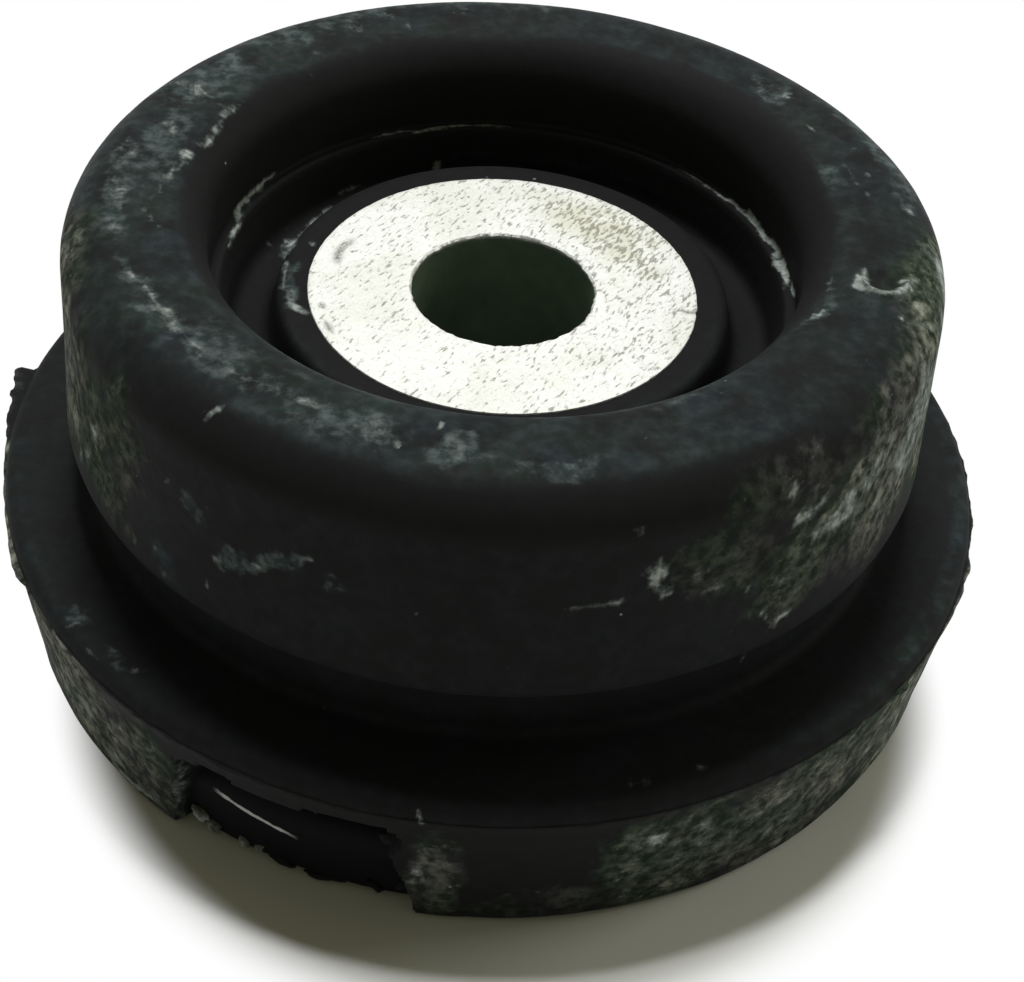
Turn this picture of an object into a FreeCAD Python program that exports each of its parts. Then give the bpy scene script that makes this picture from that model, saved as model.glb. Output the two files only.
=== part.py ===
"""Shock absorber mount: a round rubber moulding bonded to a cast hub and a pressed steel ring.

Millimetres and degrees. +Z is the mount's axis and points to the hub's bare face. The origin is
the centre of the foot, on the surface that the mount stands on. -Y is the torn side of the base.
"""
import FreeCAD, Part
import os
import Sketcher

SIZES = {
    # rubber moulding, outside, from the foot up
    "base_radius": 37.8,
    "base_edge_fillet": 0.9,
    "flange_radius": 39.3,
    "flange_underside": 12.4,
    "flange_top": 13.9,
    "flange_lip_fillet": 1.4,
    "seat_radius": 31.8,
    "seat_width": 5.7,
    "seat_fillet": 1.0,
    "neck_radius": 33.9,
    "neck_taper": 0.85,
    "neck_edge_fillet": 0.8,
    "rim_top": 37.2,
    "rim_outer_fillet": 3.7,
    "rim_inner_fillet": 3.4,
    # rubber moulding, bowl
    "bowl_radius": 22.5,
    "ledge_height": 30.2,
    "ledge_width": 0.8,
    "ledge_edge_fillet": 0.3,
    "bowl_groove_depth": 4.2,
    "bowl_groove_slope": 0.9,
    "bowl_groove_fillet": 0.9,
    "collar_width": 2.3,
    "collar_recess": 0.15,
    "collar_edge_fillet": 0.6,
    # rubber moulding, underside
    "bearing_seat_radius": 30.5,
    "bearing_seat_depth": 4.2,
    "hub_pocket_radius": 24.0,
    "hub_pocket_depth": 10.0,
    "underside_fillet": 1.0,
    # hub
    "bore_radius": 7.1,
    "bore_chamfer": 0.4,
    "hub_face_height": 29.5,
    "hub_face_radius": 15.05,
    "hub_foot_height": 6.5,
    "hub_foot_radius": 12.0,
    "anchor_radius": 20.0,
    "anchor_height": 14.0,
    "anchor_thickness": 4.0,
    "anchor_fillet": 1.2,
    # pressed ring inside the base
    "ring_radius": 36.6,
    "ring_top": 6.8,
    "ring_thickness": 1.6,
    "ring_inner_radius": 29.0,
    "ring_skirt_foot": 0.8,
    "ring_bend_fillet": 2.2,
    # tear in the base, seen from -Y, and the radius that it reaches in to
    "tear_left": -21.5,
    "tear_right": -2.7,
    "tear_top": 11.0,
    "tear_floor_radius": 35.4,
    "tear_ceiling_slope": 1.0,
}

# Corners of each turned section, as (radius, height) formulas on the sheet.
NECK_EDGE = ("Sizes.neck_radius", "Sizes.flange_top + Sizes.seat_width")
SEAT_TOP = ("Sizes.seat_radius", "Sizes.flange_top + Sizes.seat_width")
SEAT_BOTTOM = ("Sizes.seat_radius", "Sizes.flange_top")
FLANGE_LIP = ("Sizes.flange_radius", "Sizes.flange_top")
BASE_EDGE = ("Sizes.base_radius", "0")
RIM_OUTER = ("Sizes.neck_radius - Sizes.neck_taper", "Sizes.rim_top")
RIM_INNER = ("Sizes.bowl_radius", "Sizes.rim_top")
LEDGE_CORNER = ("Sizes.bowl_radius", "Sizes.ledge_height")
LEDGE_EDGE = ("Sizes.bowl_radius - Sizes.ledge_width", "Sizes.ledge_height")
GROOVE_FLOOR = "Sizes.ledge_height - Sizes.bowl_groove_depth"
GROOVE_OUTER = ("Sizes.bowl_radius - Sizes.ledge_width - Sizes.bowl_groove_slope", GROOVE_FLOOR)
COLLAR_RADIUS = "Sizes.hub_face_radius + Sizes.collar_width"
GROOVE_INNER = (COLLAR_RADIUS + " + Sizes.bowl_groove_slope", GROOVE_FLOOR)
# The fillets at the foot of the groove reach at most to the middle of its floor.
GROOVE_HALF_FLOOR = "(%s - (%s)) / 2" % (GROOVE_OUTER[0], GROOVE_INNER[0])
GROOVE_FILLET = "min(Sizes.bowl_groove_fillet; %s)" % GROOVE_HALF_FLOOR
COLLAR_TOP = "Sizes.hub_face_height - Sizes.collar_recess"
COLLAR_EDGE = (COLLAR_RADIUS, COLLAR_TOP)
CORE_RADIUS = "(Sizes.bore_radius + Sizes.hub_foot_radius) / 2"
POCKET_CORNER = ("Sizes.hub_pocket_radius", "Sizes.hub_pocket_depth")
POCKET_EDGE = ("Sizes.hub_pocket_radius", "Sizes.bearing_seat_depth")
BEARING_CORNER = ("Sizes.bearing_seat_radius", "Sizes.bearing_seat_depth")
FOOT_EDGE = ("Sizes.bearing_seat_radius", "0")

RUBBER_SECTION = [
    BASE_EDGE,
    ("Sizes.flange_radius", "Sizes.flange_underside"),
    FLANGE_LIP,
    SEAT_BOTTOM,
    SEAT_TOP,
    NECK_EDGE,
    RIM_OUTER,
    RIM_INNER,
    LEDGE_CORNER,
    LEDGE_EDGE,
    GROOVE_OUTER,
    GROOVE_INNER,
    COLLAR_EDGE,
    (CORE_RADIUS, COLLAR_TOP),
    (CORE_RADIUS, "Sizes.hub_pocket_depth"),
    POCKET_CORNER,
    POCKET_EDGE,
    BEARING_CORNER,
    FOOT_EDGE,
]

ANCHOR_TOP = "Sizes.anchor_height + Sizes.anchor_thickness"
ANCHOR_UPPER = ("Sizes.anchor_radius", ANCHOR_TOP)
ANCHOR_LOWER = ("Sizes.anchor_radius", "Sizes.anchor_height")
BORE_TOP = ("Sizes.bore_radius", "Sizes.hub_face_height")
BORE_FOOT = ("Sizes.bore_radius", "Sizes.hub_foot_height")

HUB_SECTION = [
    BORE_FOOT,
    ("Sizes.hub_foot_radius", "Sizes.hub_foot_height"),
    ("Sizes.hub_foot_radius", "Sizes.anchor_height"),
    ANCHOR_LOWER,
    ANCHOR_UPPER,
    ("Sizes.hub_face_radius", ANCHOR_TOP),
    ("Sizes.hub_face_radius", "Sizes.hub_face_height"),
    BORE_TOP,
]

RING_UNDERSIDE = "Sizes.ring_top - Sizes.ring_thickness"
SKIRT_INSIDE = "Sizes.ring_radius - Sizes.ring_thickness"
RING_BEND = ("Sizes.ring_radius", "Sizes.ring_top")
RING_INNER_BEND = (SKIRT_INSIDE, RING_UNDERSIDE)

RING_SECTION = [
    ("Sizes.ring_radius", "Sizes.ring_skirt_foot"),
    RING_BEND,
    ("Sizes.ring_inner_radius", "Sizes.ring_top"),
    ("Sizes.ring_inner_radius", RING_UNDERSIDE),
    RING_INNER_BEND,
    (SKIRT_INSIDE, "Sizes.ring_skirt_foot"),
]

TEAR_CEILING = "Sizes.flange_underside"

TEAR_SECTION = [
    ("Sizes.tear_floor_radius", "0"),
    ("Sizes.flange_radius", "0"),
    ("Sizes.flange_radius", TEAR_CEILING),
    ("Sizes.tear_floor_radius", TEAR_CEILING + " - Sizes.tear_ceiling_slope"),
]

# The ragged edge of the tear, as shares of its width from the left and of its height.
TEAR_EDGE = [
    (0.00, 0.00),
    (0.00, 0.27),
    (0.02, 0.59),
    (0.05, 0.78),
    (0.03, 0.91),
    (0.19, 0.99),
    (0.42, 0.94),
    (0.69, 1.00),
    (0.87, 0.98),
    (0.95, 0.90),
    (0.88, 0.67),
    (0.94, 0.43),
    (0.97, 0.18),
    (1.00, 0.00),
]
TEAR_X = "Sizes.tear_left + (Sizes.tear_right - Sizes.tear_left) * %.2f"
TEAR_Z = "Sizes.tear_top * %.2f"

EDGE_TOLERANCE = 1e-4

doc = FreeCAD.newDocument("shock_absorber_mount")
sheet = doc.addObject("Spreadsheet::Sheet", "Sizes")
for row, (alias, size) in enumerate(SIZES.items(), start=1):
    sheet.set("A%d" % row, alias)
    sheet.set("B%d" % row, str(size))
    sheet.setAlias("B%d" % row, alias)
doc.recompute()


def worked_out(formula):
    """The present value of a formula on the sheet, to place geometry and to find edges."""
    return float(sheet.evalExpression(formula))


def own_plane(body, role):
    """One of a body's own origin planes."""
    return next(feature for feature in body.Origin.OriginFeatures if feature.Role == role)


def new_body(label):
    """An empty body at the origin, labelled with its node's name."""
    body = doc.addObject("PartDesign::Body", label)
    body.Label = label
    body.Placement = FreeCAD.Placement()
    return body


def hold(sketch, kind, vertex, formula, value):
    """Hold one coordinate of a corner at a formula's value, or on the radius axis at zero."""
    if formula == "0":
        sketch.addConstraint(Sketcher.Constraint("PointOnObject", vertex, 1, -1))
        return
    number = sketch.addConstraint(Sketcher.Constraint(kind, -1, 1, vertex, 1, value))
    sketch.setExpression("Constraints[%d]" % number, formula)


def section_sketch(body, name, corners):
    """A closed outline in the plane through the axis that faces -Y."""
    sketch = body.newObject("Sketcher::SketchObject", name)
    sketch.AttachmentSupport = [(own_plane(body, "XZ_Plane"), "")]
    sketch.MapMode = "FlatFace"
    points = [FreeCAD.Vector(worked_out(across), worked_out(height), 0) for across, height in corners]
    for start, end in zip(points, points[1:] + points[:1]):
        sketch.addGeometry(Part.LineSegment(start, end), False)
    for vertex, (across, height) in enumerate(corners):
        following = (vertex + 1) % len(corners)
        sketch.addConstraint(Sketcher.Constraint("Coincident", vertex, 2, following, 1))
        hold(sketch, "DistanceX", vertex, across, points[vertex].x)
        hold(sketch, "DistanceY", vertex, height, points[vertex].y)
    return sketch


def turned(body, name, corners):
    """The solid of revolution of a section."""
    sketch = section_sketch(body, name + "_section", corners)
    feature = body.newObject("PartDesign::Revolution", name)
    feature.Profile = sketch
    feature.ReferenceAxis = (sketch, ["V_Axis"])
    feature.Angle = 360
    doc.recompute()
    return feature


def circle_edges(shape, corners):
    """Names of the circular edges at the given (radius, height) corners."""
    names = []
    for radius_formula, height_formula in corners:
        radius = worked_out(radius_formula)
        height = worked_out(height_formula)
        for number, edge in enumerate(shape.Edges, start=1):
            curve = edge.Curve
            if not isinstance(curve, Part.Circle):
                continue
            if abs(curve.Radius - radius) < EDGE_TOLERANCE and abs(curve.Center.z - height) < EDGE_TOLERANCE:
                names.append("Edge%d" % number)
    return names


def dress(body, kind, name, size, formula, corners):
    """A fillet or chamfer on the circular edges at the given corners of the body's last feature."""
    base = body.Tip
    edges = circle_edges(base.Shape, corners)
    if len(edges) != len(corners):
        raise RuntimeError("%s found %d of its %d edges" % (name, len(edges), len(corners)))
    feature = body.newObject("PartDesign::" + kind, name)
    feature.Base = (base, edges)
    feature.setExpression(size, formula)
    doc.recompute()
    return feature


def make_hub():
    """Cast hub: bare face for the rod's nut, through bore, anchoring flange inside the rubber."""
    body = new_body("hub")
    turned(body, "hub_casting", HUB_SECTION)
    dress(body, "Fillet", "anchor_fillets", "Radius", "Sizes.anchor_fillet", [ANCHOR_UPPER, ANCHOR_LOWER])
    dress(body, "Chamfer", "bore_chamfers", "Size", "Sizes.bore_chamfer", [BORE_TOP, BORE_FOOT])
    return body


def make_carrier_ring():
    """Pressed steel ring: a flat crown and a skirt, which stiffen the base."""
    body = new_body("carrier_ring")
    turned(body, "ring_pressing", RING_SECTION)
    dress(body, "Fillet", "outer_bend", "Radius", "Sizes.ring_bend_fillet", [RING_BEND])
    dress(
        body, "Fillet", "inner_bend", "Radius",
        "Sizes.ring_bend_fillet - Sizes.ring_thickness", [RING_INNER_BEND],
    )
    return body


def make_rubber_blank():
    """Rubber moulding, still whole, and solid where the hub and the ring lie."""
    body = new_body("rubber_blank")
    turned(body, "moulding", RUBBER_SECTION)
    for name, formula, corners in (
        ("base_edge", "Sizes.base_edge_fillet", [BASE_EDGE]),
        ("flange_lip", "Sizes.flange_lip_fillet", [FLANGE_LIP]),
        ("seat_corners", "Sizes.seat_fillet", [SEAT_BOTTOM, SEAT_TOP]),
        ("neck_edge", "Sizes.neck_edge_fillet", [NECK_EDGE]),
        ("rim_outside", "Sizes.rim_outer_fillet", [RIM_OUTER]),
        ("rim_inside", "Sizes.rim_inner_fillet", [RIM_INNER]),
        ("ledge_edges", "Sizes.ledge_edge_fillet", [LEDGE_EDGE, LEDGE_CORNER]),
        ("bowl_groove", GROOVE_FILLET, [GROOVE_OUTER, GROOVE_INNER]),
        ("collar_edge", "Sizes.collar_edge_fillet", [COLLAR_EDGE]),
        ("underside", "Sizes.underside_fillet", [FOOT_EDGE, BEARING_CORNER, POCKET_EDGE, POCKET_CORNER]),
    ):
        dress(body, "Fillet", name, "Radius", formula, corners)
    return body


def make_torn_piece():
    """The rubber that was torn off the base: its outer layer, inside the tear's ragged edge."""
    layer = new_body("outer_layer")
    turned(layer, "layer", TEAR_SECTION)
    patch = new_body("tear_outline")
    edge = [(TEAR_X % across, TEAR_Z % height if height else "0") for across, height in TEAR_EDGE]
    pad = patch.newObject("PartDesign::Pad", "tear_prism")
    pad.Profile = section_sketch(patch, "tear_edge", edge)
    pad.setExpression("Length", "Sizes.flange_radius")
    doc.recompute()
    piece = doc.addObject("Part::Common", "torn_piece")
    piece.Base = layer
    piece.Tool = patch
    doc.recompute()
    return piece


def moulded_over(blank, inserts, torn_piece, label):
    """The torn moulding with its inserts' seats, each seat exactly the insert's own surface."""
    missing = doc.addObject("Part::MultiFuse", "inserts_and_torn_piece")
    missing.Shapes = inserts + [torn_piece]
    moulding = doc.addObject("Part::Cut", label)
    moulding.Base = blank
    moulding.Tool = missing
    moulding.Label = label
    moulding.Placement = FreeCAD.Placement()
    doc.recompute()
    return moulding


hub = make_hub()
carrier_ring = make_carrier_ring()
rubber_body = moulded_over(
    make_rubber_blank(), [hub, carrier_ring], make_torn_piece(), "rubber_body"
)
nodes = [rubber_body, hub, carrier_ring]

for thing in doc.Objects:
    if "Invalid" in thing.State or "Error" in thing.State:
        raise RuntimeError("%s failed: %s" % (thing.Name, thing.State))
for node in nodes:
    if node.Shape.isNull() or not node.Shape.isValid() or len(node.Shape.Solids) != 1:
        raise RuntimeError("%s is not one valid solid" % node.Label)

os.makedirs("parts", exist_ok=True)
for node in nodes:
    node.Shape.exportStep(os.path.join("parts", node.Label + ".step"))
    print("%s: %.1f mm3, %d faces" % (node.Label, node.Shape.Volume, len(node.Shape.Faces)))
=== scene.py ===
"""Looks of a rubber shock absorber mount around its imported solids.

Named sizes are in millimetres and degrees, and meshes are in metres. +Z is the mount's axis and the
floor is at zero. Azimuth 0 is the torn side, -Y, which the camera sees, and azimuth 90 is +X.
"""
import math
from collections import namedtuple

import bpy
import numpy as np
from mathutils import Matrix, Vector, noise


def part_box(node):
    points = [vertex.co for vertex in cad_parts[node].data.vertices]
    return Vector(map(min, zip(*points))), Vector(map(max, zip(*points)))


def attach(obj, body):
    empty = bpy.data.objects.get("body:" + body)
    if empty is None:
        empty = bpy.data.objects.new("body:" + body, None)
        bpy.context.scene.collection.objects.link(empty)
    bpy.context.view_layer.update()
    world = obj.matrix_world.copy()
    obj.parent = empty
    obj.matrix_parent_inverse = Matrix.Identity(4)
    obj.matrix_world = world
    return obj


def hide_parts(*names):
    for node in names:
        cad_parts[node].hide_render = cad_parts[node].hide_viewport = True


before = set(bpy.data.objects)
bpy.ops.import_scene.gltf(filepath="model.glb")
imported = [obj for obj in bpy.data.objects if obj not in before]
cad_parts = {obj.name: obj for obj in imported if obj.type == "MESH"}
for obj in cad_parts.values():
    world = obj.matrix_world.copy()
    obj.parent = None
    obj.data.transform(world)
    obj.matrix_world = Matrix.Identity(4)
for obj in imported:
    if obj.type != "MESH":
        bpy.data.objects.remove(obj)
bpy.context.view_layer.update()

MM = 0.001


def node_size(node):
    """A node's outer radius, lowest and highest height, in millimetres."""
    low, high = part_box(node)
    return max(high.x, -low.x) / MM, low.z / MM, high.z / MM


RUBBER_RADIUS, FOOT, RIM_TOP = node_size("rubber_body")
ANCHOR_RADIUS, HUB_FOOT, HUB_FACE = node_size("hub")
RING_TOP = node_size("carrier_ring")[2]

# rubber moulding, outside
BASE_RADIUS = 37.8
FLANGE_UNDERSIDE = 12.4
FLANGE_TOP = 13.9
SEAT_RADIUS = 31.8
NECK_FOOT = 19.6
NECK_RADIUS = 33.9
NECK_TAPER = 0.85
# rubber moulding, bowl
BOWL_RADIUS = 22.5
LEDGE_HEIGHT = 30.2
LEDGE_RADIUS = 21.7
GROOVE_FLOOR = 26.0
GROOVE_OUTER = 20.8
GROOVE_INNER = 18.25
COLLAR_RADIUS = 17.35
COLLAR_TOP = HUB_FACE - 0.15
# rubber moulding, underside
BEARING_RADIUS = 30.5
BEARING_DEPTH = 4.2
POCKET_RADIUS = 24.0
POCKET_DEPTH = 10.0
# hub
HUB_RADIUS = 15.05
HUB_FOOT_RADIUS = 12.0
BORE_RADIUS = 7.1
BORE_BREAK = 0.15
BORE_SHADE = 1.4
HUB_FOOT_BREAK = 0.4
ANCHOR_BOTTOM = 14.0
ANCHOR_TOP = 18.0
# how far the rubber's hidden walls reach into the hub, so that no gap shows between them
BOND = 0.03
# moulding flash: a thin fin round the flange, just over its underside
FIN_EASE = 0.08
FIN_BOTTOM = FLANGE_UNDERSIDE + FIN_EASE
FIN_TOP = FLANGE_UNDERSIDE + 0.34
FIN_RADIUS = RUBBER_RADIUS + 0.03
# tear
TEAR_LEFT = -21.5
TEAR_RIGHT = -2.7
TEAR_TOP = 11.0
TEAR_FLOOR = 35.4

Corner = namedtuple("Corner", "radius height fillet rows step")

# The rubber's section: corners, each with the name of the rows that follow it and their spacing.
RUBBER_SECTION = [
    (BASE_RADIUS, FOOT, 0.9, "base", 0.55),
    (RUBBER_RADIUS, FLANGE_UNDERSIDE, 0, "fin", 0.3),
    (FIN_RADIUS, FIN_BOTTOM, 0, "fin_edge", 0.3),
    (FIN_RADIUS, FIN_TOP, 0, "fin", 0.3),
    (RUBBER_RADIUS, FIN_TOP + FIN_EASE, 0, "flange", 0.5),
    (RUBBER_RADIUS, FLANGE_TOP, 1.1, "flange", 0.9),
    (SEAT_RADIUS, FLANGE_TOP, 1, "seat", 1),
    (SEAT_RADIUS, NECK_FOOT, 1, "seat", 0.8),
    (NECK_RADIUS, NECK_FOOT, 0.8, "neck", 0.6),
    (NECK_RADIUS - NECK_TAPER, RIM_TOP, 3.7, "rim", 0.46),
    (BOWL_RADIUS, RIM_TOP, 3.4, "bowl", 0.6),
    (BOWL_RADIUS, LEDGE_HEIGHT, 0.3, "ledge", 0.16),
    (LEDGE_RADIUS, LEDGE_HEIGHT, 0.3, "groove", 0.55),
    (GROOVE_OUTER, GROOVE_FLOOR, 0.9, "groove", 0.6),
    (GROOVE_INNER, GROOVE_FLOOR, 0.9, "groove", 0.7),
    (COLLAR_RADIUS, COLLAR_TOP, 0.6, "collar", 0.4),
    (HUB_RADIUS - BOND, COLLAR_TOP, 0, "hidden", 6),
    (HUB_RADIUS - BOND, ANCHOR_TOP, 0, "hidden", 6),
    (ANCHOR_RADIUS - BOND, ANCHOR_TOP - BOND, 0, "hidden", 3),
    (ANCHOR_RADIUS - BOND, ANCHOR_BOTTOM + BOND, 0, "hidden", 3),
    (HUB_FOOT_RADIUS - BOND, ANCHOR_BOTTOM, 0, "hidden", 3),
    (HUB_FOOT_RADIUS - BOND, POCKET_DEPTH, 0, "underside", 3),
    (POCKET_RADIUS, POCKET_DEPTH, 1, "underside", 2),
    (POCKET_RADIUS, BEARING_DEPTH, 1, "underside", 2),
    (BEARING_RADIUS, BEARING_DEPTH, 1, "underside", 2),
    (BEARING_RADIUS, FOOT, 1, "foot", 2),
]

# The hub's section, from the bore's lower end outwards and back along the face.
HUB_SECTION = [
    (BORE_RADIUS + HUB_FOOT_BREAK, HUB_FOOT, 0, "hub_foot", 1.5),
    (HUB_FOOT_RADIUS, HUB_FOOT, 0, "hub_side", 2),
    (HUB_FOOT_RADIUS, ANCHOR_BOTTOM, 0, "hub_side", 2),
    (ANCHOR_RADIUS, ANCHOR_BOTTOM, 1.2, "hub_side", 2),
    (ANCHOR_RADIUS, ANCHOR_TOP, 1.2, "hub_side", 2),
    (HUB_RADIUS, ANCHOR_TOP, 0, "hub_side", 3),
    (HUB_RADIUS, HUB_FACE, 0.12, "hub_face", 0.2),
    (BORE_RADIUS + BORE_BREAK, HUB_FACE, 0, "bore", 0.2),
    (BORE_RADIUS, HUB_FACE - BORE_BREAK, 0, "bore", 0.3),
    (BORE_RADIUS, HUB_FACE - BORE_SHADE, 0, "bore", 1.8),
    (BORE_RADIUS, HUB_FOOT + HUB_FOOT_BREAK, 0, "bore", 0.3),
]

# Azimuths with small forms, where the rubber's columns lie closer: from, to, spacing.
FINE_COLUMNS = [(-122, -110, 0.4), (-99, -88, 0.4), (-36, -3, 0.3), (52, 56, 0.4), (71, 84, 0.36)]
COLUMN_SPACING = 0.88
HUB_COLUMN_SPACING = 0.8
FILLET_SPACING = 0.45
# The share of an oval's reach over which it fades out.
OVAL_FADE = 0.6


def smooth(value, low, high):
    """A smooth step from 0 at low to 1 at high."""
    share = np.clip((value - low) / (high - low), 0.0, 1.0)
    return share * share * (3.0 - 2.0 * share)


def corner_points(before, corner, after):
    """A corner's points: itself, or the arc of its fillet."""
    place = np.array((corner.radius, corner.height))
    if not corner.fillet:
        return [place]
    back = np.array((before.radius, before.height)) - place
    ahead = np.array((after.radius, after.height)) - place
    back /= np.linalg.norm(back)
    ahead /= np.linalg.norm(ahead)
    half = math.acos(np.clip(back @ ahead, -1.0, 1.0)) / 2.0
    middle = (back + ahead) / np.linalg.norm(back + ahead)
    centre = place + middle * corner.fillet / math.sin(half)
    start = place + back * corner.fillet / math.tan(half) - centre
    turn = math.pi - 2.0 * half
    if start[1] * back[0] - start[0] * back[1] < 0.0:
        turn = -turn
    count = max(2, math.ceil(abs(turn) * corner.fillet / min(corner.step, FILLET_SPACING)))
    arc = (start[0] + 1j * start[1]) * np.exp(1j * turn * np.arange(count + 1) / count)
    return list(centre + np.stack([arc.real, arc.imag], axis=-1))


def section_rows(section):
    """The points of a closed section as an array of (radius, height), and the name of each row."""
    section = [Corner(*row) for row in section]
    points, names = [], []
    count = len(section)
    arcs = [corner_points(section[i - 1], section[i], section[(i + 1) % count]) for i in range(count)]
    for corner, arc, following in zip(section, arcs, arcs[1:] + arcs[:1]):
        run = following[0] - arc[-1]
        pieces = max(1, round(np.linalg.norm(run) / corner.step))
        between = [arc[-1] + run * piece / pieces for piece in range(1, pieces)]
        points += arc + between
        names += [corner.rows] * (len(arc) + len(between))
    return np.array(points), np.array(names)


def column_azimuths(spacing, fine=()):
    """Azimuths of a turned mesh's columns, from -180 up to 180 degrees."""
    azimuths, azimuth = [], -180.0
    while azimuth < 180.0 - spacing / 2.0:
        azimuths.append(azimuth)
        azimuth += next((step for start, end, step in fine if start <= azimuth < end), spacing)
    return np.array(azimuths)


class Turned:
    """A closed turned surface: rows of a section repeated at each azimuth, in millimetres."""

    def __init__(self, section, azimuths):
        def spread(values):
            return np.repeat(values, len(azimuths)).reshape(self.shape)

        rows, names = section_rows(section)
        self.shape = (len(rows), len(azimuths))
        self.azimuth = np.broadcast_to(azimuths, self.shape).copy()
        self.radius, self.height, self.names = spread(rows[:, 0]), spread(rows[:, 1]), spread(names)
        tangent = np.roll(rows, -1, axis=0) - np.roll(rows, 1, axis=0)
        tangent /= np.linalg.norm(tangent, axis=1)[:, None]
        self.normal_out, self.normal_up = spread(tangent[:, 1]), spread(-tangent[:, 0])
        self.rows = rows
        steps = np.linalg.norm(np.diff(rows, axis=0), axis=1)
        self.travel = np.concatenate([[0.0], np.cumsum(steps)])
        self.wander_along = self.wander_climb = 0.0
        self.finishes = {}

    def on(self, *names):
        """Where the rows have one of the given names, as 1 and 0."""
        return np.isin(self.names, names).astype(float)

    def across(self):
        """How far each vertex lies to the right, in millimetres."""
        return self.radius * np.sin(np.radians(self.azimuth))

    def points(self):
        """Every vertex, in millimetres."""
        turn = np.radians(self.azimuth)
        return np.stack([
            self.radius * np.sin(turn), -self.radius * np.cos(turn), self.height
        ], axis=-1).reshape(-1, 3)

    def noise(self, size, octaves=4, shift=0.0):
        """Noise from about -1 to 1 at every vertex, with lumps up to size millimetres across."""
        scale = 1.0 / size
        values = [
            noise.fractal(Vector((x * scale + shift, y * scale, z * scale)), 0.9, 2.0, octaves)
            for x, y, z in self.points()
        ]
        return np.array(values).reshape(self.shape)

    def lift(self, amount):
        """Move the surface along its normals."""
        self.radius += self.normal_out * amount
        self.height += self.normal_up * amount

    def oval(self, azimuth, radius, height, half_length, half_width, tilt=0.0):
        """A soft oval on the surface: 1 in its middle, 0 at its half length and half width.

        Its middle is the surface's nearest point to the given place. Half length runs round the part
        and half width runs up or across it. Tilt is how far it climbs, or moves in across a top, for
        each millimetre towards larger azimuths.
        """
        nearest = np.argmin(np.hypot(self.rows[:, 0] - radius, self.rows[:, 1] - height))
        turn = (self.azimuth - azimuth + 180.0) % 360.0 - 180.0
        loose = min(1.0, half_width)
        along = np.radians(turn) * self.rows[nearest, 0] + self.wander_along * loose
        climb = (self.travel - self.travel[nearest])[:, None] + self.wander_climb * loose - tilt * along
        distance = np.hypot(along / half_length, climb / half_width)
        return smooth(1.0 - distance, 0.0, OVAL_FADE)

    def piece(self, name, sharp_angle):
        """A closed mesh of the surface as an object, with its finishes as attributes."""
        rows, columns = self.shape
        across, along = np.meshgrid(np.arange(columns), np.arange(rows))
        following = (across + 1) % columns
        above = (along + 1) % rows
        quads = np.stack([
            along * columns + across, along * columns + following,
            above * columns + following, above * columns + across,
        ], axis=-1).reshape(-1, 4)
        made = bpy.data.meshes.new(name)
        made.from_pydata((self.points() * MM).tolist(), [], quads.tolist())
        for finish, amount in self.finishes.items():
            attribute = made.attributes.new(finish, "FLOAT", "POINT")
            attribute.data.foreach_set("value", np.clip(amount, 0.0, 1.0).astype(np.float32).ravel())
        made.shade_smooth()
        made.update()
        made.set_sharp_from_angle(angle=math.radians(sharp_angle))
        return bpy.data.objects.new(name, made)


# Tear: the ragged edge of the missing rubber, as shares of its width from the left and of its height.
TEAR_EDGE = [
    (0, -0.2), (0, 0.27), (0.02, 0.59), (0.05, 0.78), (0.03, 0.91), (0.19, 0.99), (0.42, 0.94),
    (0.69, 1), (0.87, 0.98), (0.95, 0.9), (0.88, 0.67), (0.94, 0.43), (0.97, 0.18), (1, -0.2),
]
# The azimuth that the tear stays within, how far its edge strays, how rough its cut is, and how far the
# pulled skin lies behind the ring's face.
TEAR_SIDE = 60.0
TEAR_STRAY = 0.22
TEAR_ROUGHNESS = 0.18
TEAR_CLEARANCE = 0.25


def depth_inside(across, height, outline):
    """How far points lie inside a closed outline, in millimetres; outside it is negative."""
    corners = np.array(outline)
    nearest = np.full(across.shape, 1e9)
    inside = np.zeros(across.shape, bool)
    for start, end in zip(corners, np.roll(corners, -1, axis=0)):
        run = end - start
        share = ((across - start[0]) * run[0] + (height - start[1]) * run[1]) / (run @ run)
        share = np.clip(share, 0.0, 1.0)
        gap = np.hypot(across - start[0] - share * run[0], height - start[1] - share * run[1])
        nearest = np.minimum(nearest, gap)
        if start[1] != end[1]:
            crossing = start[0] + (height - start[1]) * run[0] / run[1]
            level = (start[1] > height) != (end[1] > height)
            inside ^= level & (across < crossing)
    return np.where(inside, nearest, -nearest)


def tear_open(rubber):
    """Pull the base's skin in behind the steel ring inside the tear's edge, and roughen the cut."""
    width = TEAR_RIGHT - TEAR_LEFT
    outline = [(TEAR_LEFT + width * share, TEAR_TOP * rise) for share, rise in TEAR_EDGE]
    depth = depth_inside(rubber.across(), rubber.height, outline)
    depth += TEAR_STRAY * rubber.noise(1.6, 4, 11.0)
    front = (np.abs(rubber.azimuth) < TEAR_SIDE) & (rubber.radius > TEAR_FLOOR - 1.0)
    torn_rows = rubber.on("base", "foot") * front
    pull = smooth(depth, -0.08, 0.55) * torn_rows
    rough = TEAR_ROUGHNESS * rubber.noise(1.1, 4, 23.0)
    floor = TEAR_FLOOR - TEAR_CLEARANCE + rough * smooth(rubber.height, RING_TOP, RING_TOP + 0.6)
    rubber.radius += (np.minimum(floor, rubber.radius) - rubber.radius) * pull
    rim = smooth(depth, -0.35, 0.05) * (1.0 - smooth(depth, 0.25, 0.8)) * torn_rows
    return pull, rim


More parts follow.
